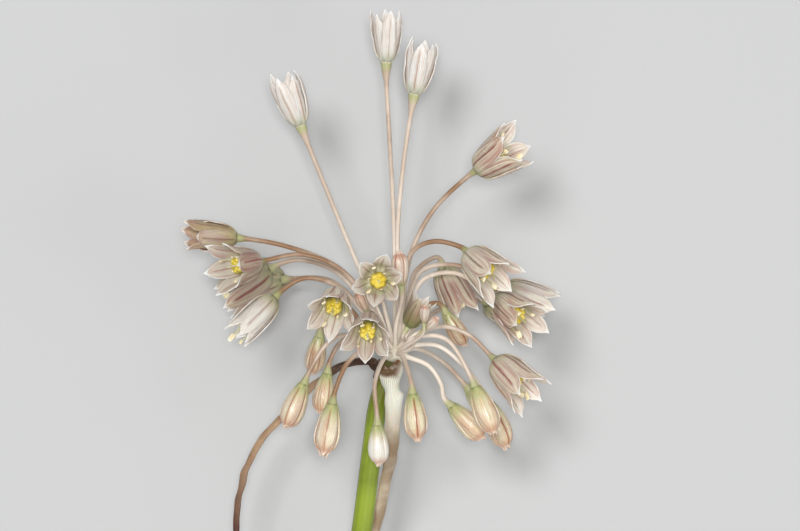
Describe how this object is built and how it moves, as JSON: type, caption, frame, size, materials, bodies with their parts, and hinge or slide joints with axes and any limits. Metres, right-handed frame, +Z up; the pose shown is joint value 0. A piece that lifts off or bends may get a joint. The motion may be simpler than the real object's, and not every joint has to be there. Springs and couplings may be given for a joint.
{
  "type": "allium macedonicum flower head",
  "caption": "Cut flower head of a small wild onion: a loose umbel of whitish bell flowers and buds on thin stalks, with two long bracts, lying on its scape.",
  "frame": {"origin": "middle of the bounding box, on the surface that the flower lies on", "axes": "+Z up from that surface, +Y from the cut end of the scape to the tallest flowers, +X to the right as seen from above"},
  "size_m": [0.0434, 0.1298, 0.0342],
  "materials": {
    "tepal": "matte, translucent",
    "old_tepal": "matte, papery",
    "pistil": "satin",
    "bud": "satin",
    "pedicel": "satin",
    "scape": "satin",
    "valve_pale": "matte, papery",
    "valve_brown": "matte, papery"
  },
  "bodies": {
    "root": {"scape": "scape", "umbel_stalks": "pedicel", "spathe_valve_right": "valve_pale", "spathe_valve_left": "valve_brown", "old_flower_01_tepals": "old_tepal", "old_flower_02_tepals": "old_tepal", "old_flower_03_tepals": "old_tepal", "flower_01_tepals": "tepal", "flower_01_pistil": "pistil", "flower_02_tepals": "old_tepal", "flower_03_tepals": "tepal", "flower_03_pistil": "pistil", "flower_04_tepals": "tepal", "flower_04_pistil": "pistil", "flower_05_tepals": "tepal", "flower_05_pistil": "pistil", "flower_06_tepals": "tepal", "flower_06_pistil": "pistil", "flower_07_tepals": "tepal", "flower_07_pistil": "pistil", "flower_08_tepals": "tepal", "flower_08_pistil": "pistil", "flower_09_tepals": "tepal", "flower_09_pistil": "pistil", "flower_10_tepals": "tepal", "flower_10_pistil": "pistil", "flower_11_tepals": "tepal", "flower_11_pistil": "pistil", "flower_12_tepals": "tepal", "flower_12_pistil": "pistil", "flower_13_tepals": "tepal", "flower_13_pistil": "pistil", "flower_14_tepals": "tepal", "flower_14_pistil": "pistil", "rear_flower_01_tepals": "tepal", "rear_flower_01_pistil": "pistil", "rear_flower_02_tepals": "tepal", "rear_flower_02_pistil": "pistil", "bud_01": "bud", "bud_02": "bud", "bud_03": "bud", "bud_04": "bud", "bud_05": "bud", "bud_06": "bud", "bud_07": "bud", "bud_08": "bud", "bud_09": "bud", "bud_10": "bud", "bud_11": "bud", "bud_12": "bud", "bud_13": "bud", "bud_14": "bud", "rear_bud_01": "bud", "rear_bud_02": "bud"}
  },
  "joints": []
}
